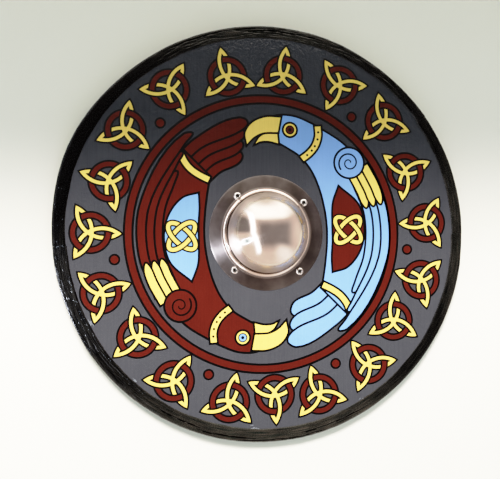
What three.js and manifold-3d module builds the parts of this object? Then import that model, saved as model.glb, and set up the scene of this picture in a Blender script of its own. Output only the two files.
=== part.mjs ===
// Wooden round shield lying on its back: painted board, black edging, steel boss and a bar grip.
// Units are millimetres. +Z leaves the painted face, +Y is the top of the painted design.
// The origin is under the middle of the shield, on the underside of the grip.

import * as THREE from 'three';
import { mergeVertices } from 'three/addons/utils/BufferGeometryUtils.js';
import Module from 'manifold-3d';

const wasm = await Module();
wasm.setup();

// ---------- driving dimensions ----------

const GAP = 0.3;                    // clearance between pieces that touch

const OUTER_RADIUS = 304.5;         // over the edging
const SWELL_HEIGHT = 4;             // the hand-cut outline swells on its upper left
const SWELL_BEARING = 156;          // degrees, counter-clockwise from +X
const SWELL_SPREAD = 17;            // degrees

const GRIP_DEPTH = 16;
const GRIP_LENGTH = 330;
const GRIP_END_WIDTH = 44;
const GRIP_WAIST_WIDTH = 32;
const GRIP_WAIST_LENGTH = 96;
const GRIP_BLEND = 24;              // length over which the waist widens into the ends
const GRIP_BEVEL = 3;

const BOARD_THICKNESS = 12;
const HAND_HOLE_RADIUS = 57;

const RIM_THICKNESS = 2;
const RIM_FRONT_WIDTH = 20;         // before each strip gets its own inner edge
const RIM_BACK_WIDTH = 17;
const RIM_ARRIS = 4.5;              // width of the slope along the outer corners
const ARRIS_SLOPE = 0.7;            // fall of that slope for each millimetre of width
const RIM_STEP = 3;                 // degrees
const SEAM_GAP = 0.4;               // between the ends of two strips

const FLANGE_RADIUS = 84.2;
const SHEET = 1.5;                  // steel thickness of the boss
const FLANGE_EDGE_BEVEL = 0.6;
const COVE_START = 63.5;            // where the flat flange starts to turn up
const COVE_RADIUS = 4.3;
const DOME_RADIUS = 58.8;
const DOME_HEIGHT = 48;             // from the crease to the top
const BOSS_SEGMENTS = 48;
const COVE_STEPS = 3;
const DOME_STEPS = 8;

const SCREW_HEAD_RADIUS = 5.5;
const SCREW_HEAD_HEIGHT = 2.7;
const SCREW_SHANK_RADIUS = 2;
const SCREW_LENGTH = 11.5;          // below the head
const SCREW_POINT = 2.5;            // length of the tapered tip
const HEAD_RIM = 0.25;              // upright part of the pan head, as a share of its height
const CROWN_STEPS = 4;
const RECESS_LENGTH = 5.4;
const RECESS_WIDTH = 1.3;
const RECESS_DEPTH = 1.5;
const SCREW_TURN = 25;              // degrees from one screw's recess to the next
const SCREW_SEGMENTS = 16;
const HOLE_SEGMENTS = 12;

const GRIP_SCREW_HEAD_RADIUS = 4.4;
const GRIP_SCREW_INTO_BOARD = 8;
const GRIP_SCREW_X = [-136, -92, 92, 136];

// ---------- heights worked out from them ----------

const BACK_Z = GRIP_DEPTH + GAP;
const FACE_Z = BACK_Z + BOARD_THICKNESS;
const FLANGE_Z = FACE_Z + GAP;
const FLANGE_TOP_Z = FLANGE_Z + SHEET;
const CREASE_Z = FLANGE_TOP_Z + COVE_RADIUS + 1;
const BOARD_INSET = RIM_THICKNESS + GAP;

// The boss screws were drilled by eye: bearing in degrees, radius in millimetres.
const BOSS_SCREWS = [[129, 68.5], [39, 71], [229, 72], [311, 74.5]];

// Each edging strip: name, bearings of its two ends, and the radius of its inner edge at each end.
const RIM_STRIPS = [
  { name: 'rim_right', from: 0, to: 36, inner: [286.5, 286] },
  { name: 'rim_upper', from: 36, to: 184, inner: [287.5, 284] },
  { name: 'rim_left', from: 184, to: 215, inner: [283, 282] },
  { name: 'rim_lower', from: 215, to: 360, inner: [284.5, 286] },
];

// ---------- materials ----------

const material = (color, roughness, metalness = 0) =>
  new THREE.MeshStandardMaterial({ color, roughness, metalness });

const paintedWood = material(0x55565a, 0.45);
const edging = material(0x15161a, 0.35);
const steel = material(0xb9a79c, 0.28, 1);
const screwSteel = material(0xd8d2cc, 0.2, 1);
const gripWood = material(0x9a6f42, 0.55);

// ---------- solids ----------

function toManifold(geometry) {
  const plain = geometry.clone();
  plain.deleteAttribute('normal');
  plain.deleteAttribute('uv');
  const merged = mergeVertices(plain, 1e-4);
  return new wasm.Manifold(new wasm.Mesh({
    numProp: 3,
    vertProperties: Float32Array.from(merged.attributes.position.array),
    triVerts: Uint32Array.from(merged.index.array),
  }));
}

function toGeometry(solid) {
  const mesh = solid.getMesh();
  const geometry = new THREE.BufferGeometry();
  geometry.setAttribute('position', new THREE.BufferAttribute(mesh.vertProperties, 3));
  geometry.setIndex(new THREE.BufferAttribute(mesh.triVerts, 1));
  return geometry;
}

function cut(geometry, tools) {
  let solid = toManifold(geometry);
  for (const tool of tools) {
    solid = solid.subtract(toManifold(tool));
  }
  return toGeometry(solid);
}

function node(name, geometry, look) {
  const mesh = new THREE.Mesh(geometry, look);
  mesh.name = name;
  return mesh;
}

// A turned solid about +Z from a profile of [radius, height] points.
function turned(profile, segments) {
  const points = profile.map(([r, z]) => new THREE.Vector2(r, z));
  return new THREE.LatheGeometry(points, segments).rotateX(Math.PI / 2);
}

// An upright rod between two heights.
function rod(radius, low, high, x, y) {
  const geometry = new THREE.CylinderGeometry(radius, radius, high - low, HOLE_SEGMENTS);
  return geometry.rotateX(Math.PI / 2).translate(x, y, (low + high) / 2);
}

function polar(degrees, radius) {
  const angle = THREE.MathUtils.degToRad(degrees);
  return [radius * Math.cos(angle), radius * Math.sin(angle)];
}

// ---------- outline ----------

function outerRadius(degrees) {
  const away = ((degrees - SWELL_BEARING + 540) % 360) - 180;
  return OUTER_RADIUS + SWELL_HEIGHT * Math.exp(-((away / SWELL_SPREAD) ** 2));
}

// ---------- board ----------

function board() {
  const outline = [];
  for (let degrees = 0; degrees < 360; degrees += RIM_STEP) {
    outline.push(new THREE.Vector2(...polar(degrees, outerRadius(degrees) - BOARD_INSET)));
  }
  const shape = new THREE.Shape(outline);
  shape.holes.push(new THREE.Path().absarc(0, 0, HAND_HOLE_RADIUS, 0, Math.PI * 2, true));
  const slab = new THREE.ExtrudeGeometry(shape, {
    depth: BOARD_THICKNESS,
    bevelEnabled: false,
    curveSegments: 40,
  }).translate(0, 0, BACK_Z);
  const bossHoles = BOSS_SCREWS.map(([degrees, radius]) => {
    const [x, y] = polar(degrees, radius);
    return rod(SCREW_SHANK_RADIUS + GAP, BACK_Z + 1, FACE_Z + 1, x, y);
  });
  const gripHoles = GRIP_SCREW_X.map((x) => (
    rod(SCREW_SHANK_RADIUS + GAP, BACK_Z - 1, BACK_Z + GRIP_SCREW_INTO_BOARD + 1, x, 0)
  ));
  return cut(slab, [...bossHoles, ...gripHoles]);
}

// ---------- edging ----------

// A strip is a channel section, extruded straight and then bent round the board by its vertices.
// In the section, x is 0 at the outside and negative inwards, and y is the height.
function rimStrip({ from, to, inner }) {
  const low = BACK_Z - BOARD_INSET;
  const high = FACE_Z + BOARD_INSET;
  const shape = new THREE.Shape();
  shape.moveTo(-RIM_FRONT_WIDTH, high);
  shape.lineTo(-RIM_FRONT_WIDTH, high - RIM_THICKNESS);
  shape.lineTo(-RIM_THICKNESS, high - RIM_THICKNESS);
  shape.lineTo(-RIM_THICKNESS, low + RIM_THICKNESS);
  shape.lineTo(-RIM_BACK_WIDTH, low + RIM_THICKNESS);
  shape.lineTo(-RIM_BACK_WIDTH, low);
  shape.lineTo(-RIM_ARRIS, low);
  shape.lineTo(0, low + RIM_ARRIS * ARRIS_SLOPE);
  shape.lineTo(0, high - RIM_ARRIS * ARRIS_SLOPE);
  shape.lineTo(-RIM_ARRIS, high);
  shape.closePath();
  const steps = Math.ceil((to - from) / RIM_STEP);
  const geometry = new THREE.ExtrudeGeometry(shape, { depth: 1, steps, bevelEnabled: false });
  const seam = THREE.MathUtils.radToDeg(SEAM_GAP / 2 / OUTER_RADIUS);
  const place = geometry.attributes.position;
  for (let i = 0; i < place.count; i++) {
    const along = 1 - place.getZ(i);
    const degrees = THREE.MathUtils.lerp(from + seam, to - seam, along);
    const outer = outerRadius(degrees);
    const isInnerEdge = place.getX(i) === -RIM_FRONT_WIDTH;
    const radius = isInnerEdge ? THREE.MathUtils.lerp(inner[0], inner[1], along) : outer + place.getX(i);
    const [x, y] = polar(degrees, radius);
    place.setXYZ(i, x, y, place.getY(i));
  }
  return geometry;
}

// ---------- boss ----------

// The outer face of the boss, from the flange edge to the top; inset moves it into the steel.
function bossFace(inset) {
  const points = [];
  const coveRadius = COVE_RADIUS + inset;
  for (let i = 0; i <= COVE_STEPS; i++) {
    const turn = (i / COVE_STEPS) * Math.PI / 2;
    const r = COVE_START - coveRadius * Math.sin(turn);
    points.push([r, FLANGE_TOP_Z - inset + coveRadius * (1 - Math.cos(turn))]);
  }
  for (let i = 0; i <= DOME_STEPS; i++) {
    const turn = (i / DOME_STEPS) * Math.PI / 2;
    const r = (DOME_RADIUS - inset) * Math.cos(turn);
    points.push([r, CREASE_Z + (DOME_HEIGHT - inset) * Math.sin(turn)]);
  }
  points[points.length - 1][0] = 0;
  return points;
}

function boss() {
  const outside = [[FLANGE_RADIUS, FLANGE_Z], [FLANGE_RADIUS, FLANGE_TOP_Z - FLANGE_EDGE_BEVEL],
    [FLANGE_RADIUS - FLANGE_EDGE_BEVEL, FLANGE_TOP_Z], ...bossFace(0)];
  const inside = bossFace(SHEET).reverse();
  const shell = turned([...outside, ...inside, outside[0]], BOSS_SEGMENTS);
  const holes = BOSS_SCREWS.map(([degrees, radius]) => {
    const [x, y] = polar(degrees, radius);
    return rod(SCREW_SHANK_RADIUS + GAP, FLANGE_Z - 1, FLANGE_TOP_Z + 1, x, y);
  });
  return cut(shell, holes);
}

// ---------- screws ----------

function crossRecess(top) {
  return [0, 90].map((degrees) => (
    new THREE.BoxGeometry(RECESS_LENGTH, RECESS_WIDTH, RECESS_DEPTH * 2)
      .rotateZ(THREE.MathUtils.degToRad(degrees))
      .translate(0, 0, top)
  ));
}

// Pan head on the flange; the head's underside is at height 0.
function bossScrew() {
  const profile = [[0, -SCREW_LENGTH], [SCREW_SHANK_RADIUS, -SCREW_LENGTH + SCREW_POINT],
    [SCREW_SHANK_RADIUS, 0], [SCREW_HEAD_RADIUS, 0]];
  for (let i = 0; i <= CROWN_STEPS; i++) {
    const turn = (i / CROWN_STEPS) * Math.PI / 2;
    const height = SCREW_HEAD_HEIGHT * THREE.MathUtils.lerp(HEAD_RIM, 1, Math.sin(turn));
    profile.push([i === CROWN_STEPS ? 0 : SCREW_HEAD_RADIUS * Math.sqrt(Math.cos(turn)), height]);
  }
  return cut(turned(profile, SCREW_SEGMENTS), crossRecess(SCREW_HEAD_HEIGHT));
}

// Countersunk screw through the grip; its flat head faces down, flush with the grip's underside.
function gripScrew() {
  const tip = BACK_Z + GRIP_SCREW_INTO_BOARD;
  const coneTop = GAP + GRIP_SCREW_HEAD_RADIUS - SCREW_SHANK_RADIUS;
  const profile = [[0, GAP], [GRIP_SCREW_HEAD_RADIUS, GAP], [SCREW_SHANK_RADIUS, coneTop],
    [SCREW_SHANK_RADIUS, tip - SCREW_POINT], [0, tip]];
  return cut(turned(profile, SCREW_SEGMENTS), crossRecess(GAP));
}

// ---------- grip ----------

function grip() {
  const capX = (GRIP_LENGTH - GRIP_END_WIDTH) / 2;
  const halfEnd = GRIP_END_WIDTH / 2 - GRIP_BEVEL;
  const halfWaist = GRIP_WAIST_WIDTH / 2 - GRIP_BEVEL;
  const waist = GRIP_WAIST_LENGTH / 2;
  const blendMiddle = waist + GRIP_BLEND / 2;
  const swell = waist + GRIP_BLEND;
  const shape = new THREE.Shape();
  shape.moveTo(-capX, -halfEnd);
  // The lower side runs towards +X and the upper side runs back, each with a waist for the hand.
  for (const side of [-1, 1]) {
    const ahead = -side;
    const endY = side * halfEnd;
    const waistY = side * halfWaist;
    shape.lineTo(-ahead * swell, endY);
    shape.bezierCurveTo(-ahead * blendMiddle, endY, -ahead * blendMiddle, waistY, -ahead * waist, waistY);
    shape.lineTo(ahead * waist, waistY);
    shape.bezierCurveTo(ahead * blendMiddle, waistY, ahead * blendMiddle, endY, ahead * swell, endY);
    shape.lineTo(ahead * capX, endY);
    shape.absarc(ahead * capX, 0, halfEnd, side * Math.PI / 2, (side / 2 + 1) * Math.PI, false);
  }
  const bar = new THREE.ExtrudeGeometry(shape, {
    depth: GRIP_DEPTH - 2 * GRIP_BEVEL,
    bevelThickness: GRIP_BEVEL,
    bevelSize: GRIP_BEVEL,
    bevelSegments: 2,
    curveSegments: 5,
  }).translate(0, 0, GRIP_BEVEL);
  const sinkDepth = GRIP_SCREW_HEAD_RADIUS - SCREW_SHANK_RADIUS + GAP;
  const tools = GRIP_SCREW_X.flatMap((x) => {
    const sink = turned([[0, -GAP], [GRIP_SCREW_HEAD_RADIUS + 2 * GAP, -GAP],
      [SCREW_SHANK_RADIUS + GAP, sinkDepth + GAP], [0, sinkDepth + GAP]], SCREW_SEGMENTS);
    return [sink.translate(x, 0, 0), rod(SCREW_SHANK_RADIUS + GAP, 1, GRIP_DEPTH + 1, x, 0)];
  });
  return cut(bar, tools);
}

// ---------- assembly ----------

const shield = new THREE.Group();
shield.add(node('board', board(), paintedWood));
for (const strip of RIM_STRIPS) {
  shield.add(node(strip.name, rimStrip(strip), edging));
}
shield.add(node('boss', boss(), steel));
BOSS_SCREWS.forEach(([degrees, radius], index) => {
  const screw = node(`boss_screw_${index + 1}`, bossScrew(), screwSteel);
  const [x, y] = polar(degrees, radius);
  screw.position.set(x, y, FLANGE_TOP_Z + GAP);
  screw.rotation.z = THREE.MathUtils.degToRad(SCREW_TURN * index);
  shield.add(screw);
});
shield.add(node('grip', grip(), gripWood));
GRIP_SCREW_X.forEach((x, index) => {
  const screw = node(`grip_screw_${index + 1}`, gripScrew(), screwSteel);
  screw.position.set(x, 0, 0);
  shield.add(screw);
});

export default shield;
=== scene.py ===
"""The looks of a painted wooden round shield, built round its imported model.

The shield lies on its back with the painted face up: +Z leaves the face and +Y is the top of the design.
Shapes are worked out in millimetres and turned into metres when a mesh is made.
"""

import random
from math import acos, atan2, ceil, cos, degrees, hypot, radians, sin, sqrt

import bpy
import numpy as np
from mathutils import Matrix, Vector, noise
from mathutils.geometry import delaunay_2d_cdt


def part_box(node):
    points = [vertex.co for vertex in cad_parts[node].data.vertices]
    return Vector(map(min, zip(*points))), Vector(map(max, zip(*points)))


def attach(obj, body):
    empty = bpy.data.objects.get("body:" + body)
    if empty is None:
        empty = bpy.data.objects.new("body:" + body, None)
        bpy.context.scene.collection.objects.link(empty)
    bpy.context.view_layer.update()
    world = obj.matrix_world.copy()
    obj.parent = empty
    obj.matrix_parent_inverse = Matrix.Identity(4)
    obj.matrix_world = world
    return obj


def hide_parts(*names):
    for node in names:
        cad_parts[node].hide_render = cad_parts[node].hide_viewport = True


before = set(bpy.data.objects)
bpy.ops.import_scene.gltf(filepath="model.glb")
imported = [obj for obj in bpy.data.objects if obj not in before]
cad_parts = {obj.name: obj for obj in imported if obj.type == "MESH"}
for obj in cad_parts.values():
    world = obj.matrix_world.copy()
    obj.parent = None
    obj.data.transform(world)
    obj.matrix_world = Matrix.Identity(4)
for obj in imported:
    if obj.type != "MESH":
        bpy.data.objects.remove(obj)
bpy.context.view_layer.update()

MM = 0.001

# ---------- sizes taken from the imported model, in millimetres ---


def top_of(node):
    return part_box(node)[1].z / MM


BOARD_TOP = top_of("board")
BOARD_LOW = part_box("board")[0].z / MM
RIM_TOP = top_of("rim_right")
RIM_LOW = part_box("rim_right")[0].z / MM
BOSS_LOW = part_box("boss")[0].z / MM
BOSS_TOP = top_of("boss")
FLANGE_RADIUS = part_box("boss")[1].x / MM

# ---------- painted design: sizes in millimetres, bearings in degrees from +X ----------

LINE = 3.0                    # width of the black outlines
KNOT_LINE = 2.5               # and of those on the knots

RING_INNER = 192.3            # the red ring between the birds and the knots
RING_OUTER = 201.3
RING_CENTRE = (-2.5, -0.9)    # it was drawn a little off the middle

STRAND = 4.7                  # yellow strand of a knot
KNOT_TIP = 38.9               # from the knot's middle to a tip, along the middle of a strand
KNOT_CORE = 2.0               # from the knot's middle to where a strand passes it
KNOT_RING = 24.6              # the red ring laced through the knot
KNOT_RING_WIDTH = 6.5
DOT_RADIUS = 5.6

# Six dots part the knots into groups. The knots at the ends of a group stand further out, with a tip
# turned in towards the boss; those between them stand nearer, with a tip pointing out.
DOT_BEARINGS = [53, 134, 190, 248, 299, 354]
DOT_CIRCLE = 219
KNOT_FURTHER = 249
KNOT_NEARER = 235
KNOT_TURN_IN = 58             # degrees that an end knot is turned
KNOT_MARGIN = 10              # degrees from a dot to the knot beside it
KNOT_SPACING = 20             # degrees between knots, about

# Rubbed places in the grey: bearing, radius, strokes and spread.
SCUFFS = [(207, 282, 16, 2.8), (228, 284, 8, 1.5), (266, 283, 8, 2.6), (300, 284, 4, 1.5)]


# ---------- flat drawing ----------
# A drawing is a list of (colour, loop) in painting order, and a loop is a list of (x, y).


def polar(bearing, radius):
    return (radius * cos(radians(bearing)), radius * sin(radians(bearing)))


def by_polar(*points):
    """Points given as (bearing, radius), with "sharp" kept where it follows."""
    return [(*polar(point[0], point[1]), *point[2:]) for point in points]


def spline(points, closed=True, steps=7):
    """A smooth curve through the points. A third element, "sharp", makes a point a corner."""
    count = len(points)
    places = [np.array(point[:2], float) for point in points]
    corner = [len(point) > 2 for point in points]
    curve = []
    for i in range(count if closed else count - 1):
        here, there = places[i], places[(i + 1) % count]
        straight = there - here
        length = np.linalg.norm(straight)
        leave = arrive = straight
        if not corner[i] and (closed or i > 0):
            before = here - places[i - 1]
            leave = (before / np.linalg.norm(before) + straight / length) * length / 2
        if not corner[(i + 1) % count] and (closed or i + 2 < count):
            after = places[(i + 2) % count] - there
            arrive = (after / np.linalg.norm(after) + straight / length) * length / 2
        for k in range(steps):
            t = k / steps
            rise = 3 * t * t - 2 * t**3
            point = here + straight * rise + leave * (t**3 - 2 * t * t + t) + arrive * (t**3 - t * t)
            curve.append(tuple(point))
    if not closed:
        curve.append(tuple(places[-1]))
    return curve


def signed_area(loop):
    x, y = np.array(loop).T
    return 0.5 * float(np.sum(x * np.roll(y, -1) - np.roll(x, -1) * y))


def outset(loop, distance):
    """The loop moved outwards all round, with its corners mitred to a limit."""
    loop = loop if signed_area(loop) > 0 else loop[::-1]
    moved = []
    for i, point in enumerate(loop):
        ahead = np.subtract(loop[(i + 1) % len(loop)], point)
        behind = np.subtract(point, loop[i - 1])
        if np.linalg.norm(ahead) < 1e-6 or np.linalg.norm(behind) < 1e-6:
            continue
        out_ahead = np.array([ahead[1], -ahead[0]]) / np.linalg.norm(ahead)
        out_behind = np.array([behind[1], -behind[0]]) / np.linalg.norm(behind)
        between = out_ahead + out_behind
        between /= np.linalg.norm(between) + 1e-9
        moved.append(tuple(point + between * distance / max(0.4, float(between @ out_behind))))
    return moved


def ribbon(line, width, end_width=None):
    """A stroke along an open line; its width may change steadily to end_width."""
    left, right = [], []
    last = len(line) - 1
    for i, point in enumerate(line):
        along = np.subtract(line[min(last, i + 1)], line[max(0, i - 1)])
        along = along / (np.linalg.norm(along) + 1e-9)
        half = (width if end_width is None else width + (end_width - width) * i / last) / 2
        left.append((point[0] - along[1] * half, point[1] + along[0] * half))
        right.append((point[0] + along[1] * half, point[1] - along[0] * half))
    return left + right[::-1]


def arc(centre, radius, start, end, steps=24):
    """Points on a circle from one bearing to another."""
    bearings = np.linspace(start, end, steps + 1)
    return [tuple(np.add(centre, polar(bearing, radius))) for bearing in bearings]


def disc(centre, radius, steps=40):
    return arc(centre, radius, 0, 360, steps)[:-1]


def spiral(centre, start_radius, end_radius, bearing, turns, steps=44):
    places = []
    for i in range(steps + 1):
        part = i / steps
        radius = start_radius + (end_radius - start_radius) * part
        places.append(tuple(np.add(centre, polar(bearing + 360 * turns * part, radius))))
    return places


def filled(colour, loop, line=LINE):
    """A coloured shape with a black outline round it."""
    return [("black", outset(loop, line)), (colour, loop)]


def placed(drawing, turn=0, at=(0, 0)):
    """The drawing turned about its own origin and moved."""
    c, s = cos(radians(turn)), sin(radians(turn))
    return [
        (colour, [(x * c - y * s + at[0], x * s + y * c + at[1]) for x, y in loop])
        for colour, loop in drawing
    ]


# ---------- knots ----------
# A knot is three arcs from tip to tip, each bulging past the middle, laced through a ring.
# Each arc is worked out with its circle's centre on +X, and its two tips 60 degrees either side.

KNOT_REACH = (KNOT_TIP**2 - KNOT_CORE**2) / (KNOT_TIP + 2 * KNOT_CORE)   # middle to circle centre
KNOT_BEND = KNOT_REACH + KNOT_CORE                                      # radius of the circle


def knot_edge(offset, steps=22):
    """One edge of a strand, from tip to tip, offset outwards from the strand's middle."""
    radius = KNOT_BEND + offset
    tip = KNOT_REACH / 2 + sqrt(radius**2 - 0.75 * KNOT_REACH**2)
    half = degrees(atan2(tip * sin(radians(60)), KNOT_REACH - tip * cos(radians(60))))
    return arc((KNOT_REACH, 0), radius, 180 + half, 180 - half, steps)


def knot_strand(half_width):
    return knot_edge(half_width) + knot_edge(-half_width)[::-1]


def knot_bridge(half_width, half_length):
    """The stretch of a strand that passes over the ring."""
    square = KNOT_REACH**2 + KNOT_BEND**2 - KNOT_RING**2
    crossing = degrees(acos(square / (2 * KNOT_REACH * KNOT_BEND)))
    spread = degrees(half_length / KNOT_BEND)
    start, end = 180 - crossing + spread, 180 - crossing - spread
    outside = arc((KNOT_REACH, 0), KNOT_BEND + half_width, start, end, 6)
    inside = arc((KNOT_REACH, 0), KNOT_BEND - half_width, end, start, 6)
    return outside + inside


def knot():
    half = STRAND / 2
    turns = (60, 180, 300)
    drawing = []
    for colour, half_width in (("black", half + KNOT_LINE), ("yellow", half)):
        for turn in turns:
            drawing += placed([(colour, knot_strand(half_width))], turn)
    for colour, width in (("black", KNOT_RING_WIDTH + 2 * KNOT_LINE), ("red", KNOT_RING_WIDTH)):
        for start in (0, 120, 240):
            drawing.append((colour, ribbon(arc((0, 0), KNOT_RING, start, start + 125), width)))
    reach = KNOT_RING_WIDTH / 2 + KNOT_LINE
    for turn in turns:
        drawing += placed([("black", knot_bridge(half + KNOT_LINE, reach))], turn)
        drawing += placed([("yellow", knot_bridge(half, reach + 1.5))], turn)
    return drawing


def knots_between(dot, next_dot):
    """The group of knots from one dot to the next."""
    drawing = []
    count = round((next_dot - dot) / KNOT_SPACING)
    first, last = dot + KNOT_MARGIN, next_dot - KNOT_MARGIN
    for i in range(count):
        bearing = first + (last - first) * i / (count - 1)
        at_end = i in (0, count - 1)
        turn = bearing + (KNOT_TURN_IN if at_end else 0)
        radius = KNOT_FURTHER if at_end else KNOT_NEARER
        drawing += placed(knot(), turn, np.add(RING_CENTRE, polar(bearing, radius)))
    return drawing


def border():
    """The red ring with the knots and dots outside it."""
    drawing = []
    for dot, next_dot in zip(DOT_BEARINGS, DOT_BEARINGS[1:] + [DOT_BEARINGS[0] + 360]):
        drawing += knots_between(dot, next_dot)
    for bearing in DOT_BEARINGS:
        middle = np.add(RING_CENTRE, polar(bearing, DOT_CIRCLE))
        drawing += filled("red", disc(middle, DOT_RADIUS), KNOT_LINE)
    middle = (RING_INNER + RING_OUTER) / 2
    width = RING_OUTER - RING_INNER
    for colour, stroke in (("black", width + 2 * LINE), ("red", width)):
        for start in range(0, 360, 90):
            quarter = arc(RING_CENTRE, middle, start, start + 90.5, 30)
            drawing.append((colour, ribbon(quarter, stroke)))
    return drawing


def scuffs():
    """Places where the grey is rubbed pale beside the edging: bearing, radius, strokes and spread."""
    chance = random.Random(4)
    drawing = []
    for bearing, radius, count, spread in SCUFFS:
        for _ in range(count):
            x, y = np.add(polar(bearing, radius), (chance.gauss(0, spread), chance.gauss(0, spread)))
            dx, dy = polar(bearing + 90 + chance.gauss(0, 40), chance.uniform(0.8, 2.6))
            bend = chance.gauss(0, 0.5)
            line = [(x - dx, y - dy), (x + bend, y - bend), (x + dx, y + dy)]
            drawing.append(("scuff", ribbon(line, 0.3, chance.uniform(0.5, 1.0))))
    return drawing


# ---------- birds ----------


def oval(width, height, start, end, steps=30):
    bearings = np.radians(np.linspace(start, end, steps + 1))
    return [(width * cos(bearing), height * sin(bearing)) for bearing in bearings]


def looped_knot(long, short, width, line=1.9):
    """Two ovals laced through each other, over and under by turns."""
    drawing = []
    for a, b in ((long, short), (short, long)):
        loops = [oval(a, b, start, start + 185) for start in (0, 180)]
        drawing += [("black", ribbon(loop, width + 2 * line)) for loop in loops]
        drawing += [("yellow", ribbon(loop, width)) for loop in loops]
    crossing = long * short / hypot(long, short)
    spread = degrees((width / 2 + line) / ((long + short) / 2))
    for side in (1, -1):
        at = degrees(atan2(side * crossing / short, side * crossing / long))
        drawing.append(("black", ribbon(oval(long, short, at - spread, at + spread, 6), width + 2 * line)))
        longer = 1.4 * spread
        drawing.append(("yellow", ribbon(oval(long, short, at - longer, at + longer, 8), width)))
    return drawing


def tail(coat, feathers):
    drawing = []
    low, high = 112.0, 171.0
    wide = (high - low) / feathers
    gap = 0.9
    for k in range(feathers):
        a = low + wide * k + gap
        b = low + wide * (k + 1) - gap
        tip = 109 - (2.6 if feathers == 4 else 3.2) * k
        drawing += filled(coat, spline(by_polar(
            (142, a, "sharp"), (128, a - 0.8), (tip + 3, a - 2.2), (tip - 0.8, (a + b) / 2 - 2),
            (tip - 0.6, (a + b) / 2 + 3), (tip + 2.6, b + 1.5), (128, b), (142, b, "sharp"))))
    return drawing


def wing(coat, pinions=3):
    """Long feathers against the ring, the short yellow ones that cover them, and the shoulder."""
    drawing = []
    wide = 11.5
    for k in range(pinions):
        a = 151.5 + wide * k
        b = a + wide - 0.8
        tip = 148 - 9.5 * k
        drawing += filled(coat, spline(by_polar(
            (210, a, "sharp"), (190, a + 1), (168, a + 1), (tip + 4, a + 1.5), (tip - 1.5, (a + b) / 2),
            (tip + 1.5, b), (168, b + 0.8), (190, b + 0.8), (210, b, "sharp"))))
    for k in range(pinions):
        a = 151.5 + wide * k
        b = a + wide - 1
        drawing += filled("yellow", spline(by_polar(
            (214, a, "sharp"), (203, a), (197, a + 1.3), (194.5, (a + b) / 2), (197, b - 1.3),
            (203, b), (214, b, "sharp"))))
    shoulder = polar(220, 163.5)
    drawing += filled(coat, disc(shoulder, 21.5, 48))
    drawing.append(("black", ribbon(spiral(shoulder, 16.5, 2.2, 40, -1.6), 2.6, 1.6)))
    return drawing


def head(eye):
    drawing = []
    drawing += filled("yellow", spline(by_polar(
        (262.5, 133, "sharp"), (269, 135), (274.5, 134), (277, 131.5, "sharp"), (274, 140.5),
        (270, 145.5), (264, 149.5, "sharp"))))
    drawing += filled("yellow", spline(by_polar(
        (263, 171, "sharp"), (270.5, 169.5), (277.5, 162), (282, 149), (282.5, 133, "sharp"),
        (277.5, 141.5), (272, 147), (263.5, 149.2, "sharp"))))
    at = polar(257, 156)
    drawing += filled("yellow", disc(at, 9.2))
    drawing += filled(eye, disc(at, 5.2), 1.5)
    drawing.append(("black", disc(at, 2.4, 20)))
    return drawing


def collar(line, width, dots=0):
    drawing = filled("yellow", ribbon(line, width))
    for k in range(dots):
        at = line[(k + 1) * (len(line) - 1) // (dots + 1)]
        drawing.append(("black", disc(at, 1.7, 14)))
    return drawing


def bird(coat, panel, feathers):
    """A bird curled round the boss, with its tail at the top and its head at the bottom."""
    drawing = tail(coat, feathers)
    drawing += filled(coat, spline(by_polar(
        (136, 168, "sharp"), (152, 176), (180, 180), (206, 179), (228, 176), (240, 174), (249, 175),
        (257, 176), (265, 172), (270, 163), (271, 150), (266, 139), (257, 131), (246, 125),
        (234, 116), (220, 105), (204, 96.5), (188, 93), (172, 93.5), (156, 99), (145, 107),
        (136, 117, "sharp"))))
    hip = spline(by_polar((137.5, 171), (139.5, 158), (140.5, 144), (140, 130), (138, 114)), closed=False)
    neck = spline(by_polar((244, 176), (241.5, 163), (240.5, 148), (241.5, 134), (244, 122)), closed=False)
    drawing += collar(hip, 8)
    drawing += head(panel)
    drawing += collar(neck, 8.5, dots=5)
    drawing += filled(panel, spline(by_polar(
        (151, 115, "sharp"), (158, 131), (170, 143), (183, 147.5), (197, 145), (212, 129, "sharp"),
        (204, 111), (190, 102), (174, 101.5), (160, 106))))
    drawing += placed(looped_knot(25, 11, 5.4, 2.2), 182 - 45, polar(182.5, 123.5))
    return drawing + wing(coat)


def picture():
    """A red bird and a blue one chase each other's tails round the boss."""
    return bird("red", "blue", 4) + placed(bird("blue", "red", 3), 180)


# ---------- meshes ----------


def piece(name, points, faces, material, stands_for=(), corner=None):
    """A mesh piece that rides with the shield. Points are in millimetres; corner is the crease angle."""
    mesh = bpy.data.meshes.new(name)
    mesh.from_pydata([[c * MM for c in point] for point in points], [], faces)
    mesh.materials.append(material)
    mesh.update()
    if corner:
        mesh.shade_smooth()
        mesh.set_sharp_from_angle(angle=radians(corner))
    obj = bpy.data.objects.new(name, mesh)
    bpy.context.scene.collection.objects.link(obj)
    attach(obj, "root")
    if stands_for:
        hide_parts(*stands_for)
    return obj


def skin(rings, looped=True):
    """Points and faces of a surface through rings of points; a ring of one point is a tip."""
    points, faces, starts = [], [], []
    for ring in rings:
        starts.append(len(points))
        points += ring
    for k in range(len(rings) - 1):
        a, b = starts[k], starts[k + 1]
        m, n = len(rings[k]), len(rings[k + 1])
        around = max(m, n)
        for i in range(around if looped else around - 1):
            j = (i + 1) % around
            if m == 1:
                faces.append((a, b + i, b + j))
            elif n == 1:
                faces.append((a + i, b, a + j))
            else:
                faces.append((a + i, b + i, b + j, a + j))
    return points, faces


def turned(profile, segments):
    """Rings round the Z axis from a profile of (radius, height); radius 0 is a tip."""
    return [
        [(0, 0, z)] if r == 0 else [(*polar(360 * i / segments, r), z) for i in range(segments)]
        for r, z in profile
    ]


# ---------- paint ----------


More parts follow.
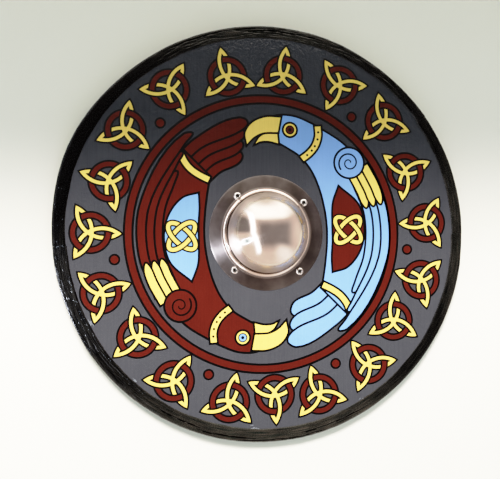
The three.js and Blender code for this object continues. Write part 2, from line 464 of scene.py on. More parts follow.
def inside(loop, x, y):
    """Which of the points (x, y) lie in the loop, by winding number."""
    turns = np.zeros(len(x), int)
    for (ax, ay), (bx, by) in zip(loop, loop[1:] + loop[:1]):
        left = (bx - ax) * (y - ay) - (x - ax) * (by - ay)
        turns += (ay <= y) & (by > y) & (left > 0)
        turns -= (ay > y) & (by <= y) & (left < 0)
    return turns != 0


def flatten(drawing):
    """Cuts the drawing into triangles that each show one colour: {colour: (points, triangles)}."""
    points, edges = [], []
    for _, loop in drawing:
        first, count = len(points), len(loop)
        points += [Vector(point) for point in loop]
        edges += [(first + i, first + (i + 1) % count) for i in range(count)]
    points, _, faces, *_ = delaunay_2d_cdt(points, edges, [], 0, 1e-3)
    places = np.array([tuple(point) for point in points])
    triangles = np.array(faces)
    x, y = places[triangles].mean(axis=1).T
    colours = np.full(len(triangles), "", dtype="<U8")
    for colour, loop in reversed(drawing):
        low, high = np.min(loop, axis=0), np.max(loop, axis=0)
        near = (colours == "") & (x > low[0]) & (x < high[0]) & (y > low[1]) & (y < high[1])
        chosen = np.flatnonzero(near)
        chosen = chosen[inside(loop, x[chosen], y[chosen])]
        colours[chosen] = colour
    return {c: (places, triangles[colours == c]) for c in np.unique(colours) if c}


def coat(name, places, triangles, low, high, material, slot):
    """A closed layer of paint between two heights."""
    used, renamed = np.unique(triangles, return_inverse=True)
    tops = renamed.reshape(-1, 3)
    count = len(used)
    flat = places[used]
    points = [(x, y, high) for x, y in flat] + [(x, y, low) for x, y in flat]
    corners = flat[tops]
    a, b, c = corners[:, 0], corners[:, 1], corners[:, 2]
    twist = (b[:, 0] - a[:, 0]) * (c[:, 1] - a[:, 1]) - (b[:, 1] - a[:, 1]) * (c[:, 0] - a[:, 0])
    tops[twist < 0] = tops[twist < 0][:, ::-1]
    sides = {(int(t[i]), int(t[(i + 1) % 3])) for t in tops for i in range(3)}
    walls = [(a, a + count, b + count, b) for a, b in sides if (b, a) not in sides]
    faces = tops.tolist() + (tops[:, ::-1] + count).tolist() + walls
    return piece(name, points, faces, material)


GROUND_LOW = BOARD_TOP + 0.02
GROUND_TOP = BOARD_TOP + 0.13
COLOUR_TOP = BOARD_TOP + 0.24
GROUND_RADIUS = 301           # under the edging


def paint_ground(material):
    hole = 57.5
    profile = [(hole, GROUND_LOW), (hole, GROUND_TOP)]
    profile += [(GROUND_RADIUS, GROUND_TOP), (GROUND_RADIUS, GROUND_LOW)]
    rings = turned(profile[::-1] + [profile[-1]], 240)
    points, faces = skin(rings)
    return piece("paint_ground", points, faces, material)


def paint(materials):
    layers = {}
    for area in (border(), picture(), scuffs()):
        for colour, (places, triangles) in flatten(area).items():
            known, faces = layers.get(colour, (np.zeros((0, 2)), np.zeros((0, 3), int)))
            faces = np.vstack([faces, triangles + len(known)])
            layers[colour] = (np.vstack([known, places]), faces)
    for colour, (places, triangles) in layers.items():
        name = "paint_" + colour
        slot = "paint_grey" if colour == "scuff" else name
        coat(name, places, triangles, GROUND_TOP, COLOUR_TOP, materials[colour], slot)


# ---------- boss ----------

SHEET = 1.5
COVE_START = 66.0             # where the flange starts to turn up
CREASE_RADIUS = 58.8
CREASE_Z = BOSS_LOW + SHEET + 5.3
CREASE_DEPTH = 1.2
CREASE_WIDTH = 0.8
DOME_HEIGHT = BOSS_TOP - CREASE_Z
FLANGE_FALL = 0.6             # the flange is hammered thinner towards its edge
BOSS_SEGMENTS = 288


def boss_profile(inset):
    """The boss's outer face from its top to the flange edge; inset moves it into the steel."""
    profile = [(0, BOSS_TOP - inset)]
    for i in range(1, 61):
        turn = radians(90 - 90 * i / 60)
        profile.append(((CREASE_RADIUS - inset) * cos(turn), CREASE_Z + (DOME_HEIGHT - inset) * sin(turn)))
    profile.append((CREASE_RADIUS - inset + 0.2, CREASE_Z - CREASE_DEPTH))
    top = BOSS_LOW + SHEET - inset
    foot = COVE_START + inset * 0.6
    wide = foot - (CREASE_RADIUS - inset + CREASE_WIDTH)
    rise = CREASE_Z - 0.3 - top
    for i in range(0, 21):
        turn = radians(90 * i / 20)
        profile.append((foot - wide * cos(turn), top + rise * (1 - sin(turn))))
    return profile


def boss(dome_steel, flange_steel):
    outside = boss_profile(0)
    inside_face = boss_profile(SHEET)[::-1]
    top = BOSS_LOW + SHEET
    edge = top - FLANGE_FALL
    flange = [(COVE_START + (FLANGE_RADIUS - COVE_START) * part, top - FLANGE_FALL * part**2)
              for part in (0.2, 0.4, 0.6, 0.8, 0.93)]
    flange += [(FLANGE_RADIUS - 0.5, edge - 0.08), (FLANGE_RADIUS - 0.1, edge - 0.3),
               (FLANGE_RADIUS, edge - 0.5), (FLANGE_RADIUS, BOSS_LOW + 0.2), (FLANGE_RADIUS - 0.2, BOSS_LOW)]
    rings = turned(outside + flange + inside_face, BOSS_SEGMENTS)
    points, faces = skin(rings)
    obj = piece("boss_fine", points, faces, dome_steel, ("boss",), corner=28)
    obj.data.materials.append(flange_steel)
    for polygon in obj.data.polygons:
        x, y, _ = polygon.center / MM
        polygon.material_index = int(hypot(x, y) > COVE_START - 0.5)
    return obj


# ---------- screws ----------

HEAD_RADIUS = 5.5
HEAD_HEIGHT = 2.7
SHANK_RADIUS = 2.0


def crown_height(r):
    """Height of a pan head's top at a distance from its middle."""
    return HEAD_HEIGHT * (0.28 + 0.72 * (1 - (r / HEAD_RADIUS) ** 3.2) ** 0.6)


def recess_depth(x, y):
    """Depth of the cross recess at a point of the head."""
    depth = 0
    for along, across in ((x, y), (y, x)):
        floor = 2.0 * (1 - abs(along) / 3.3)
        wall = (1.1 - abs(across)) * 4.5
        depth = max(depth, min(floor, wall))
    return depth


def boss_screw(index, material, recess):
    low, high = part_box(f"boss_screw_{index}")
    cx, cy = (low.x + high.x) / 2 / MM, (low.y + high.y) / 2 / MM
    seat = high.z / MM - HEAD_HEIGHT
    tip = low.z / MM
    segments = 72
    turn = 25 * (index - 1)
    rings = [[(cx, cy, tip)]]
    for r, z in ((SHANK_RADIUS, tip + 2.5), (SHANK_RADIUS, seat), (HEAD_RADIUS - 0.15, seat),
                 (HEAD_RADIUS, seat + 0.2)):
        rings.append([(cx + x, cy + y, z) for x, y in disc((0, 0), r, segments)])
    steps = 34
    for k in range(steps):
        r = HEAD_RADIUS * (1 - (k / steps) ** 1.15)
        ring = []
        for x, y in disc((0, 0), r, segments):
            ring.append((x, y, seat + crown_height(r) - recess_depth(x, y)))
        c, s = cos(radians(turn)), sin(radians(turn))
        rings.append([(cx + x * c - y * s, cy + x * s + y * c, z) for x, y, z in ring])
    rings.append([(cx, cy, seat + crown_height(0) - recess_depth(0, 0))])
    points, faces = skin([ring[::-1] for ring in rings])
    name = f"boss_screw_{index}"
    obj = piece(name + "_fine", points, faces, material, (name,), corner=32)
    # painted shade: faces down in the cross recess take a dark material
    obj.data.materials.append(recess)
    for polygon in obj.data.polygons:
        x, y, z = polygon.center / MM
        crown = seat + crown_height(min(HEAD_RADIUS, hypot(x - cx, y - cy)))
        polygon.material_index = int(z > seat + 0.5 and z < crown - 0.35)
    return obj


# ---------- edging ----------

# Each strip of the edging, with the radius of its outer corner.
STRIPS = {"rim_right": 4.4, "rim_upper": 3.2, "rim_left": 2.0, "rim_lower": 4.2}
SECTION_STEP = 0.25           # degrees between sections
RIM_ACROSS = 18               # steps across the front of a section
RIM_SHEET = 2.0
ROLL_BACK = 3.0               # radius of the back corner
# Dents in the outer edge: bearing, depth and reach in degrees.
DENTS = [(318, 1.4, 17), (52, 1.4, 15), (358, 1.1, 7), (203, 1.1, 10)]
# Cracks that run round: the two end bearings, and the distance from the outer edge.
CRACKS = [
    (249, 268, 6.2), (262, 287, 4.0), (279, 301, 8.6),
    (74, 99, 7.6), (92, 119, 4.6), (236, 252, 9.5),
]
RIM_BACK_WIDTH = 17
FLECK_LOW = RIM_TOP - 1.6      # a fleck is let into the edging
FLECK_HIGH = RIM_TOP - 0.12


def node_outline(name):
    """Outer radius and front inner radius of a strip against bearing, measured on its CAD node."""
    outer, inner = {}, {}
    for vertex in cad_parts[name].data.vertices:
        x, y, z = vertex.co / MM
        bearing = round(degrees(atan2(y, x)), 2) % 360
        radius = hypot(x, y)
        outer[bearing] = max(outer.get(bearing, 0), radius)
        if z > RIM_TOP - 0.01:
            inner[bearing] = min(inner.get(bearing, 999), radius)
    return outer, inner


def wavy(seed, *scaled):
    """Smooth noise from -1 to 1 at a place."""
    return noise.noise(Vector(scaled) + Vector((seed * 17.3, seed * 5.1, seed * 9.7)))


def hide_relief(along, across, seed):
    """Height of the hide's lumps, creases and grain, by the distance along the edging and across it."""
    drift = 2.2 * wavy(seed + 3, along / 45, 0, 0)
    lumps = 0.24 * wavy(seed, along / 15, across / 6, 0)
    valley = abs(wavy(seed + 1, along / 70, (across + drift) / 3.4, 0))
    crease = -0.5 * max(0.0, 1 - valley / 0.11)
    grain = 0.13 * wavy(seed + 2, along / 26, across / 1.5, 0)
    return lumps + crease + grain


def calm(bearing):
    """How much of the relief shows: the hide lies smoother on the upper left."""
    return 1 - 0.8 * min(1.0, max(0.0, 1 - abs(bearing - 152) / 36) * 3)


def crack_depth(bearing, from_edge):
    """Depth of the long cracks that run round near the outer corner."""
    depth = 0
    for start, end, at in CRACKS:
        if start < bearing < end:
            path = at + 1.3 * wavy(31, radians(bearing) * 300 / 17, at, 0)
            taper = min(1, (bearing - start) / 3, (end - bearing) / 3)
            depth = max(depth, 1.0 * taper * max(0, 1 - abs(from_edge - path) / 0.95))
    return depth


def rim_edge(name, bearing, edge):
    """The hide's cut edge, which wanders from its plain curve."""
    along = radians(bearing) * 300
    ragged = 0.7 * wavy(len(name) + 9, along / 22, 0, 0) + 0.4 * wavy(len(name) + 10, along / 4, 0, 0)
    trim = {"rim_left": 1.4, "rim_lower": -1.3 * max(0.0, 1 - abs(bearing - 258) / 50) ** 0.5}.get(name, 0)
    if name == "rim_upper":
        trim = 3.4 * max(0.0, 1 - abs(bearing - 160) / 40) ** 0.7
    return edge + ragged + trim


def dented(bearing):
    """How far the outer face stands back where the edging was knocked flatter."""
    return sum(depth * max(0.0, 1 - (abs(bearing - at) / reach) ** 2) for at, depth, reach in DENTS)


def rim_section(bearing, outer, inner, seed, roll):
    """Closed section of the edging at a bearing: (radius, height) points, outside first."""
    section = []
    within = outer - RIM_SHEET
    outer -= dented(bearing)
    along = radians(bearing) * outer
    arris = roll * (1 + 0.3 * wavy(seed + 5, along / 55, 3, 0))
    front = outer - arris
    face = RIM_TOP - 0.45
    for i in range(RIM_ACROSS + 1):
        part = i / RIM_ACROSS
        radius = inner + (front - inner) * part
        relief = calm(bearing) * hide_relief(along, radius - inner, seed) * min(1, 4 * part + 0.2)
        relief -= crack_depth(bearing, outer - radius)
        lip = -1.0 * (1 - min(1, part * 8)) ** 2
        section.append((radius, face + relief + lip - 0.25 * roll / 4 * part**3))
    shoulder = section[-1][1]
    for i in range(1, 6):
        turn = radians(90 * i / 5)
        knock = 0.22 * wavy(seed + 6, along / 7, i / 2, 0)
        section.append((front + (arris - 0.25) * sin(turn) + knock, shoulder - arris * (1 - cos(turn))))
    foot = RIM_LOW + ROLL_BACK
    top = section[-1][1]
    for i in range(1, 5):
        bulge = 0.25 * wavy(seed + 7, along / 12, i, 0)
        section.append((outer - 0.3 + bulge, top + (foot - top) * i / 5))
    for i in range(4):
        turn = radians(90 * i / 3)
        section.append((outer - 0.2 - ROLL_BACK * (1 - cos(turn)), RIM_LOW + ROLL_BACK * (1 - sin(turn))))
    back = outer - RIM_BACK_WIDTH
    for i in range(1, 5):
        radius = outer - ROLL_BACK + (back - outer + ROLL_BACK) * i / 4
        section.append((radius, RIM_LOW + 0.25 + 0.2 * wavy(seed + 8, along / 14, radius / 8, 0)))
    section += [(back, RIM_LOW + RIM_SHEET), (within, RIM_LOW + RIM_SHEET), (within, RIM_TOP - RIM_SHEET),
                (inner + 0.2, RIM_TOP - RIM_SHEET)]
    return section


def rim_strip(name, seed, roll, hide, crack_shade):
    outer, inner = node_outline(name)
    start, end = strip_ends(sorted(outer))
    outer, inner = spread(outer, start), spread(inner, start)
    count = ceil((end - start) / SECTION_STEP)
    rings = []
    for i in range(count + 1):
        bearing = start + (end - start) * i / count
        edge = rim_edge(name, bearing, np.interp(bearing, *inner))
        section = rim_section(bearing, np.interp(bearing, *outer), edge, seed, roll)
        rings.append([(*polar(bearing, r), z) for r, z in section])
    points, faces = skin(rings)
    size = len(rings[0])
    last = len(points) - size
    faces.append(tuple(range(size))[::-1])
    faces.append(tuple(range(last, last + size)))
    faces = [face[::-1] for face in faces]
    obj = piece(name + "_fine", points, faces, hide, (name,), corner=40)
    # painted shade: faces deep in a crack take a darker material
    obj.data.materials.append(crack_shade)
    for polygon in obj.data.polygons:
        x, y, z = polygon.center / MM
        bearing = degrees(atan2(y, x)) % 360
        depth = crack_depth(bearing, np.interp(bearing, *outer) - dented(bearing) - hypot(x, y))
        polygon.material_index = int(depth > 0.3 and z > RIM_TOP - 4)
    return obj


def strip_ends(bearings):
    """First and last bearing of a strip, unrolled so that the last is the greater."""
    gaps = [((bearings[(i + 1) % len(bearings)] - b) % 360, i) for i, b in enumerate(bearings)]
    _, widest = max(gaps)
    start = bearings[(widest + 1) % len(bearings)]
    return start, start + (bearings[widest] - start) % 360


def spread(table, start):
    """A table of values by bearing, sorted along the strip from its start."""
    rows = sorted(((b - start) % 360 + start, value) for b, value in table.items())
    return [b for b, _ in rows], [value for _, value in rows]


def rim_flecks(material):
    """Pale chips in the black: at the seam on the left, and along the edging below it. The row along the
    outer corner below the seam stands in for the glints there, painted highlights.
    """
    chance = random.Random(11)
    places = [(184 + chance.gauss(0, 0.12), chance.uniform(289, 302.5)) for _ in range(12)]
    # painted highlights: pale specks along the outer corner below the seam, where glints show
    places += [(chance.uniform(185, 214), 301.0 + chance.gauss(0, 0.5)) for _ in range(34)]
    places += [(chance.uniform(192, 236), chance.uniform(286, 290)) for _ in range(26)]
    places += [(chance.uniform(168, 183), chance.uniform(288, 303)) for _ in range(10)]
    points, faces = [], []
    for bearing, radius in places:
        here = polar(bearing, radius)
        long, wide = chance.uniform(0.5, 1.5), chance.uniform(0.2, 0.45)
        ahead = polar(bearing + 90 + chance.gauss(0, 25), long)
        aside = polar(bearing + chance.gauss(0, 25), wide)
        loop = [np.add(here, ahead), np.add(here, aside)]
        loop += [np.subtract(here, ahead), np.subtract(here, aside)]
        loop = loop if signed_area([tuple(point) for point in loop]) > 0 else loop[::-1]
        first = len(points)
        points += [(x, y, z) for z in (FLECK_LOW, FLECK_HIGH) for x, y in loop]
        faces += [(first + 3, first + 2, first + 1, first), (first + 4, first + 5, first + 6, first + 7)]
        faces += [(first + i, first + (i + 1) % 4, first + 4 + (i + 1) % 4, first + 4 + i) for i in range(4)]
    return piece("rim_flecks", points, faces, material)


# ---------- materials ----------

PLY = (BOARD_TOP - BOARD_LOW) / 7    # thickness of each of the board's seven plies


def shader(name, roughness, metallic=0.0, specular=0.5):
    """A new node material and its tree and shader node."""
    material = bpy.data.materials.new(name)
    material.use_nodes = True
    tree = material.node_tree
    node = tree.nodes["Principled BSDF"]
    node.inputs["Roughness"].default_value = roughness
    node.inputs["Metallic"].default_value = metallic
    node.inputs["Specular IOR Level"].default_value = specular
    return material, tree, node


def add(tree, kind, **settings):
    """A new node; a setting that names an input gives its value or what is linked to it."""
    node = tree.nodes.new(kind)
    for key, value in settings.items():
        if hasattr(node, key):
            setattr(node, key, value)
            continue
        socket = node.inputs[int(key[1:])] if key[1:].isdigit() else node.inputs[key.replace("_", " ")]
        if isinstance(value, bpy.types.NodeSocket):
            tree.links.new(value, socket)
        else:
            socket.default_value = value
    return node


def math_node(tree, operation, *values):
    inputs = {f"i{i}": value for i, value in enumerate(values)}
    return add(tree, "ShaderNodeMath", operation=operation, **inputs).outputs[0]


def times(tree, first, second):
    return math_node(tree, "MULTIPLY", first, second)


def plus(tree, first, second):
    return math_node(tree, "ADD", first, second)


def coloured(tree, node, colour):
    tree.links.new(colour, node.inputs["Base Color"])


def object_place(tree):
    return add(tree, "ShaderNodeTexCoord").outputs["Object"]


def scaled(tree, place, x, y, z):
    """Coordinates multiplied along each axis, so that a pattern stretches."""
    return add(tree, "ShaderNodeMapping", Vector=place, Scale=(x, y, z)).outputs[0]


def cloud(tree, place, scale, detail=3.0, distortion=0.0):
    settings = {"Scale": scale, "Detail": detail, "Distortion": distortion}
    return add(tree, "ShaderNodeTexNoise", Vector=place, **settings).outputs[0]


def blend(tree, factor, first, second):
    """A colour between two, by a factor socket."""
    node = add(tree, "ShaderNodeMix", data_type="RGBA")
    tree.links.new(factor, node.inputs[0])
    for value, socket in ((first, node.inputs[6]), (second, node.inputs[7])):
        if isinstance(value, bpy.types.NodeSocket):
            tree.links.new(value, socket)
        else:
            socket.default_value = (*value, 1)
    return node.outputs[2]


def ranged(tree, value, low, high, to_low=0.0, to_high=1.0):
    return add(tree, "ShaderNodeMapRange", i0=value, i1=low, i2=high, i3=to_low, i4=to_high).outputs[0]


def eased(tree, value, low, high, to_low=0.0, to_high=1.0):
    """The same with a slow start and end."""
    return add(tree, "ShaderNodeMapRange", interpolation_type="SMOOTHSTEP",
               i0=value, i1=low, i2=high, i3=to_low, i4=to_high).outputs[0]


def bumped(tree, node, height, distance, strength=1.0):
    bump = add(tree, "ShaderNodeBump", Strength=strength, Distance=distance)
    tree.links.new(height, bump.inputs["Height"])
    tree.links.new(bump.outputs[0], node.inputs["Normal"])


def round_place(tree):
    """Coordinates that run round the shield: distance along a circle, radius and height, in metres."""
    split = add(tree, "ShaderNodeSeparateXYZ", Vector=object_place(tree))
    x, y, z = split.outputs
    radius = math_node(tree, "SQRT", plus(tree, times(tree, x, x), times(tree, y, y)))
    bearing = math_node(tree, "ARCTAN2", y, x)
    return bearing, radius, z


def paint_material(name, pale, deep, roughness):
    """Brushed paint on wood: the grain shows faintly, and the colour varies from stroke to stroke."""
    material, tree, node = shader(name, roughness, specular=0.4)
    place = object_place(tree)
    grain = cloud(tree, scaled(tree, place, 420, 14, 1), 1.0, 4)
    patches = cloud(tree, place, 22, 2)
    mixed = plus(tree, times(tree, grain, 0.55), times(tree, patches, 0.45))
    coloured(tree, node, blend(tree, ranged(tree, mixed, 0.36, 0.64), pale, deep))
    _, y, _ = add(tree, "ShaderNodeSeparateXYZ", Vector=place).outputs
    peel = times(tree, cloud(tree, place, 230, 2), ranged(tree, y, 0.252, 0.288, 1.0, 4.0))
    height = plus(tree, times(tree, grain, 0.25), peel)
    bumped(tree, node, height, 0.0005)
    return material


def boss_material(name, rough, stretch):
    """Spun steel: fine turning lines, so highlights spread outward from the middle. The dome's foot and the
    flange get darker colours, painted shade for the dark things they reflect, and the crease gets a dark
    band of painted shade.
    """
    material, tree, node = shader(name, rough, 1.0)
    bearing, radius, _ = round_place(tree)
    circle = add(tree, "ShaderNodeCombineXYZ", i0=times(tree, bearing, 1.2),
                 i1=times(tree, radius, 2600)).outputs[0]
    lines = cloud(tree, circle, 1.0, 2)
    step = add(tree, "ShaderNodeCombineXYZ", i0=times(tree, bearing, 0.4),
               i1=times(tree, radius, 420)).outputs[0]
    steps = cloud(tree, step, 1.0, 1)
    smudge = cloud(tree, object_place(tree), 34, 3)
    patchy = ranged(tree, smudge, 0.35, 0.65)
    dome = blend(tree, patchy, (0.70, 0.59, 0.52), (0.80, 0.69, 0.61))
    # painted shade: the dome's foot and the flange get darker steel colours for the dark things they reflect
    foot = blend(tree, patchy, (0.42, 0.34, 0.29), (0.56, 0.46, 0.395))
    flange = blend(tree, patchy, (0.138, 0.121, 0.113), (0.23, 0.202, 0.191))
    colour = blend(tree, ranged(tree, radius, 0.049, 0.056), dome, foot)
    # painted shade: a dark band in the crease round the dome
    crease_shade = times(tree, ranged(tree, radius, 0.0580, 0.0585), ranged(tree, radius, 0.0594, 0.0590))
    colour = blend(tree, ranged(tree, radius, 0.0592, 0.0605), colour, dome)
    colour = blend(tree, crease_shade, colour, (0.05, 0.038, 0.03))
    colour = blend(tree, ranged(tree, radius, 0.0640, 0.0675), colour, flange)
    coloured(tree, node, colour)
    dull = ranged(tree, radius, 0.046, 0.054, 0.0, 0.32)
    dull = times(tree, dull, ranged(tree, radius, 0.0600, 0.0592))
    smooth = ranged(tree, smudge, 0.3, 0.7, rough - 0.03, rough + 0.03)
    tree.links.new(plus(tree, smooth, dull), node.inputs["Roughness"])
    node.inputs["Anisotropic"].default_value = stretch
    node.inputs["Anisotropic Rotation"].default_value = 0.25
    tangent = add(tree, "ShaderNodeTangent", direction_type="RADIAL", axis="Z")
    tree.links.new(tangent.outputs[0], node.inputs["Tangent"])
    rings = times(tree, steps, ranged(tree, radius, 0.036, 0.052, 0.0, 4.0))
    bumped(tree, node, plus(tree, lines, rings), 0.00001)
    return material


def screw_material():
    material, tree, node = shader("polished_screw", 0.12, 1.0)
    smudge = cloud(tree, object_place(tree), 420, 2)
    coloured(tree, node, blend(tree, smudge, (0.86, 0.83, 0.79), (0.7, 0.67, 0.63)))
    tree.links.new(ranged(tree, smudge, 0.3, 0.7, 0.08, 0.2), node.inputs["Roughness"])
    return material


def speckled(name, roughness, scale, first, second, metallic=0.0, specular=0.5):
    """A material whose colour drifts between two, in specks of one size."""
    material, tree, node = shader(name, roughness, metallic, specular)
    coloured(tree, node, blend(tree, cloud(tree, object_place(tree), scale, 2), first, second))
    return material


def edging_material():
    """Hide under glossy black, brushed on along the edge. It is paler brown at the bottom, right and top,
    partly wear and partly a painted sheen, and darker on the upper left, painted shade.
    """
    material, tree, node = shader("black_rawhide", 0.3, specular=0.34)
    place = object_place(tree)
    bearing, radius, z = round_place(tree)
    along = add(tree, "ShaderNodeCombineXYZ", i0=times(tree, bearing, 9),
                i1=times(tree, radius, 900), i2=times(tree, z, 900)).outputs[0]
    strokes = cloud(tree, along, 1.0, 4)
    pores = cloud(tree, place, 700, 3)
    patches = cloud(tree, place, 26, 3)
    x, y, _ = add(tree, "ShaderNodeSeparateXYZ", Vector=place).outputs
    # painted shade: the streaks turn darker on the upper left
    north_west = math_node(tree, "SUBTRACT", times(tree, y, 0.47), times(tree, x, 0.88))
    upper_left_shade = ranged(tree, north_west, 0.250, 0.268)
    streak_with_shade = blend(tree, upper_left_shade, (0.016, 0.0148, 0.0125), (0.0014, 0.0014, 0.0016))
    coat_with_shade = blend(tree, ranged(tree, strokes, 0.4, 0.7), (0.0007, 0.0007, 0.0009), streak_with_shade)
    # paler brown at the bottom, right and top: wear with a painted sheen
    bottom, right = ranged(tree, y, -0.215, -0.275), ranged(tree, x, 0.262, 0.300, 0.0, 0.8)
    sheen_and_wear = math_node(tree, "MAXIMUM", bottom, right)
    sheen_and_wear = math_node(tree, "MAXIMUM", sheen_and_wear, ranged(tree, y, 0.255, 0.290, 0.0, 1.0))
    patchy = times(tree, sheen_and_wear, ranged(tree, patches, 0.36, 0.56, 0.5, 1.0))
    rubbed = ranged(tree, strokes, 0.36, 0.62)
    sheen_and_wear_colour = blend(tree, rubbed, (0.012, 0.0150, 0.0120), (0.047, 0.0395, 0.0325))
    coloured(tree, node, blend(tree, patchy, coat_with_shade, sheen_and_wear_colour))
    tree.links.new(ranged(tree, pores, 0.3, 0.7, 0.16, 0.36), node.inputs["Roughness"])
    height = plus(tree, strokes, times(tree, pores, 0.5))
    bumped(tree, node, height, 0.00022)
    return material


def wood_material(name, pale, dark, along_x, plies=False):
    """Oiled wood whose grain runs along X or Y."""
    material, tree, node = shader(name, 0.48)
    place = object_place(tree)
    stretch = (6, 130, 130) if along_x else (130, 6, 130)
    grain = cloud(tree, scaled(tree, place, *stretch), 1.0, 5, 0.6)
    fine = (40, 1400, 1400) if along_x else (1400, 40, 1400)
    pores = cloud(tree, scaled(tree, place, *fine), 1.0, 2)
    mixed = plus(tree, times(tree, grain, 0.75), times(tree, pores, 0.25))
    colour = blend(tree, ranged(tree, mixed, 0.36, 0.62), dark, pale)
    if plies:
        z = add(tree, "ShaderNodeSeparateXYZ", Vector=place).outputs[2]
        layer = math_node(tree, "FRACT", times(tree, z, 1 / (2 * PLY * MM)))
        cross = add(tree, "ShaderNodeNewGeometry").outputs["Normal"]
        upright = math_node(tree, "ABSOLUTE", add(tree, "ShaderNodeSeparateXYZ", Vector=cross).outputs[2])
        side = math_node(tree, "LESS_THAN", upright, 0.5)
        band = times(tree, math_node(tree, "GREATER_THAN", layer, 0.5), side)
        colour = blend(tree, band, colour, tuple(0.55 * c for c in dark))
    coloured(tree, node, colour)
    bumped(tree, node, mixed, 0.0003)
    return material


# ---------- light, floor and camera ----------

CAMERA_PLACE = (-189.3, -35.9, BOARD_TOP + 1028.4)
CAMERA_AIM = (-24.4, -9.8, BOARD_TOP)
LENS = 51.55


def camera():
    data = bpy.data.cameras.new("camera")
    data.lens = LENS
    data.sensor_width = 36
    data.clip_start, data.clip_end = 0.01, 50
    obj = bpy.data.objects.new("camera", data)
    place, aim = Vector(CAMERA_PLACE) * MM, Vector(CAMERA_AIM) * MM
    back = (place - aim).normalized()
    right = Vector((0, 1, 0)).cross(back).normalized()
    up = back.cross(right)
    obj.matrix_world = Matrix.Translation(place) @ Matrix((right, up, back)).transposed().to_4x4()
    bpy.context.scene.collection.objects.link(obj)
    bpy.context.scene.camera = obj


def softbox(name, place, aim, size, power, colour, in_reflections):
    data = bpy.data.lights.new(name, "AREA")
    data.shape = "RECTANGLE"
    data.size, data.size_y = size
    data.energy = power
    data.color = colour
    obj = bpy.data.objects.new(name, data)
    obj.location = place
    obj.rotation_euler = (Vector(place) - Vector(aim)).to_track_quat("Z", "Y").to_euler()
    obj.visible_glossy = in_reflections
    bpy.context.scene.collection.objects.link(obj)
    return obj


def floor():
    side = 6.0
    bpy.ops.mesh.primitive_plane_add(size=side, location=(0, 0, 0))
    obj = bpy.context.active_object
    obj.name = "floor"
    obj.data.materials.append(speckled("pale_floor", 0.6, 3, (0.88, 0.83, 0.70), (0.90, 0.86, 0.74)))
    return obj


def surroundings():
    """Plain pale light; reflections see a bright tent with a window and a dark opening instead."""
    world = bpy.data.worlds.new("studio")
    bpy.context.scene.world = world
    world.use_nodes = True
    tree = world.node_tree
    tree.nodes.clear()
    direction = add(tree, "ShaderNodeTexCoord").outputs["Generated"]
    east, north, _ = add(tree, "ShaderNodeSeparateXYZ", Vector=direction).outputs

    def between(value, low, high, soft):
        rise = eased(tree, value, low - soft, low + soft)
        fall = eased(tree, value, high - soft, high + soft, 1.0, 0.0)
        return times(tree, rise, fall)

    opening = times(tree, between(east, -0.42, 0.84, 0.17), between(north, -0.57, 0.44, 0.22))
    tent = blend(tree, opening, (1.12, 0.945, 0.85), (0.33, 0.30, 0.30))
    lower = times(tree, between(east, 0.34, 0.88, 0.22), between(north, -0.92, -0.50, 0.18))
    tent = blend(tree, lower, tent, (1.75, 1.6, 1.52))
    corner = times(tree, between(east, -1.2, -0.70, 0.05), between(north, 0.0, 0.58, 0.10))
    tent = blend(tree, corner, tent, (0.28, 0.26, 0.26))
    upper = times(tree, between(east, -0.62, 0.72, 0.2), between(north, 0.55, 0.94, 0.09))
    tent = blend(tree, upper, tent, (3.3, 3.15, 2.9))
    bent = plus(tree, east, times(tree, math_node(tree, "MINIMUM", north, 0.0), 0.38))
    window = times(tree, between(bent, -0.68, -0.54, 0.03), between(north, -0.76, 0.72, 0.08))
    tent = blend(tree, window, tent, (5.6, 5.7, 6.1))
    seen = add(tree, "ShaderNodeBackground", Strength=1.0)
    tree.links.new(tent, seen.inputs["Color"])
    plain = add(tree, "ShaderNodeBackground", Color=(0.84, 0.985, 1.06, 1), Strength=0.73)
    path = add(tree, "ShaderNodeLightPath")
    mix = add(tree, "ShaderNodeMixShader")
    tree.links.new(path.outputs["Is Glossy Ray"], mix.inputs[0])
    tree.links.new(plain.outputs[0], mix.inputs[1])
    tree.links.new(seen.outputs[0], mix.inputs[2])
    out = add(tree, "ShaderNodeOutputWorld")
    tree.links.new(mix.outputs[0], out.inputs[0])


def flag():
    """A card beside the key light that keeps it off the upper part of the shield."""
    low, far, height, half, slant = 0.372, 1.2, 0.75, 1.6, 0.05
    corners = [(-half, low - slant), (half, low + slant), (half, far), (-half, far)]
    mesh = bpy.data.meshes.new("flag")
    mesh.from_pydata([(x, y, height) for x, y in corners], [], [(0, 1, 2, 3)])
    obj = bpy.data.objects.new("flag", mesh)
    bpy.context.scene.collection.objects.link(obj)
    obj.visible_camera = False
    obj.visible_glossy = False


# How the picture's brightness answers to the light: a soft toe and shoulder, as (light, shown).
FILM_WHITE = 3.0
FILM = [(0, 0), (0.012, 0.0015), (0.03, 0.0105), (0.05, 0.025), (0.08, 0.056), (0.12, 0.106), (0.2, 0.195),
        (0.5, 0.47), (0.8, 0.70), (1.2, 0.85), (1.8, 0.955), (3.0, 1.0)]


def film():
    view = bpy.context.scene.view_settings
    view.view_transform = "Standard"
    view.look = "None"
    view.use_curve_mapping = True
    mapping = view.curve_mapping
    mapping.white_level = (FILM_WHITE,) * 3
    curve = mapping.curves[3]
    for light, shown in FILM[1:-1]:
        curve.points.new(light / FILM_WHITE, shown)
    curve.points[0].location = (0, 0)
    curve.points[len(FILM) - 1].location = (1, 1)
    mapping.update()


def studio(shiny):
    """Light, floor and camera; a low window's glint shows on the shiny pieces alone."""
    film()
    surroundings()
    ground = floor()
    flag()
    softbox("key", (-0.4, 0.93, 2.0), (0, 0, 0), (0.5, 0.34), 107, (1.0, 0.955, 0.935), False)
    fill = softbox("floor_fill", (0, 0.3, 2.2), (0, 0.3, 0), (1.6, 1.0), 11, (1.0, 0.98, 0.95), False)
    shine_only_on(fill, [ground])
    glint = softbox("glint", (-2.06, -0.84, 1.33), (0, 0, 0), (0.26, 0.28), 170, (0.88, 0.94, 1.1), True)
    shine_only_on(glint, shiny)
    camera()


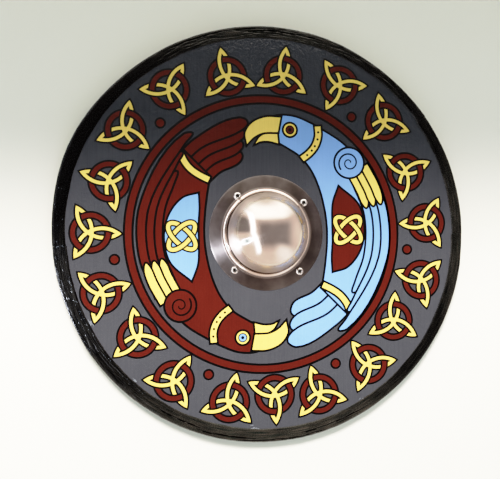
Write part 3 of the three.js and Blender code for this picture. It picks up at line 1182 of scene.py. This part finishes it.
def shine_only_on(lamp, objects):
    receivers = bpy.data.collections.new(lamp.name + "_receivers")
    for obj in objects:
        receivers.objects.link(obj)
    lamp.light_linking.receiver_collection = receivers


# ---------- assembly ----------


def shield():
    colours = {
        "grey": ((0.067, 0.0662, 0.0725), (0.0595, 0.0588, 0.065), 0.24),
        "black": ((0.0006, 0.0006, 0.0008), (0.001, 0.001, 0.0012), 0.42),
        "red": ((0.096, 0.0145, 0.0085), (0.081, 0.012, 0.007), 0.4),
        "yellow": ((0.97, 0.69, 0.15), (0.90, 0.62, 0.13), 0.4),
        "blue": ((0.226, 0.405, 0.79), (0.204, 0.375, 0.73), 0.4),
        "scuff": ((0.30, 0.32, 0.35), (0.18, 0.19, 0.21), 0.6),
    }
    materials = {name: paint_material("paint_" + name, *look) for name, look in colours.items()}
    paint_ground(materials["grey"])
    paint(materials)
    dome, flange = boss_material("spun_dome", 0.12, 0.85), boss_material("spun_flange", 0.40, 0.95)
    shiny = [boss(dome, flange)]
    screw = screw_material()
    # painted shade for the screws' cross recesses
    recess = speckled("screw_recess_shade", 0.55, 900, (0.012, 0.011, 0.010), (0.05, 0.046, 0.042), metallic=0.6)
    for index in range(1, 5):
        boss_screw(index, screw, recess)
    hide = edging_material()
    # painted shade inside the edging's cracks
    crack_shade_looks = (0.0006, 0.0005, 0.0004), (0.003, 0.0025, 0.002)
    crack_shade = speckled("edging_crack_shade", 0.6, 500, *crack_shade_looks, specular=0.1)
    for seed, (name, roll) in enumerate(STRIPS.items()):
        strip = rim_strip(name, seed + 1, roll, hide, crack_shade)
        if name == "rim_left":
            shiny.append(strip)
    rim_flecks(speckled("edge_chips_and_glints", 0.5, 900, (0.035, 0.042, 0.05), (0.20, 0.22, 0.25)))
    finishes = {
        "board": wood_material("birch_ply", (0.62, 0.44, 0.25), (0.46, 0.30, 0.16), False, plies=True),
        "grip": wood_material("oiled_grip", (0.36, 0.19, 0.08), (0.20, 0.10, 0.04), True),
    }
    for index in range(1, 5):
        finishes[f"grip_screw_{index}"] = screw
    for name, material in finishes.items():
        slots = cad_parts[name].data.materials
        slots.clear()
        slots.append(material)
    return shiny


studio(shield())
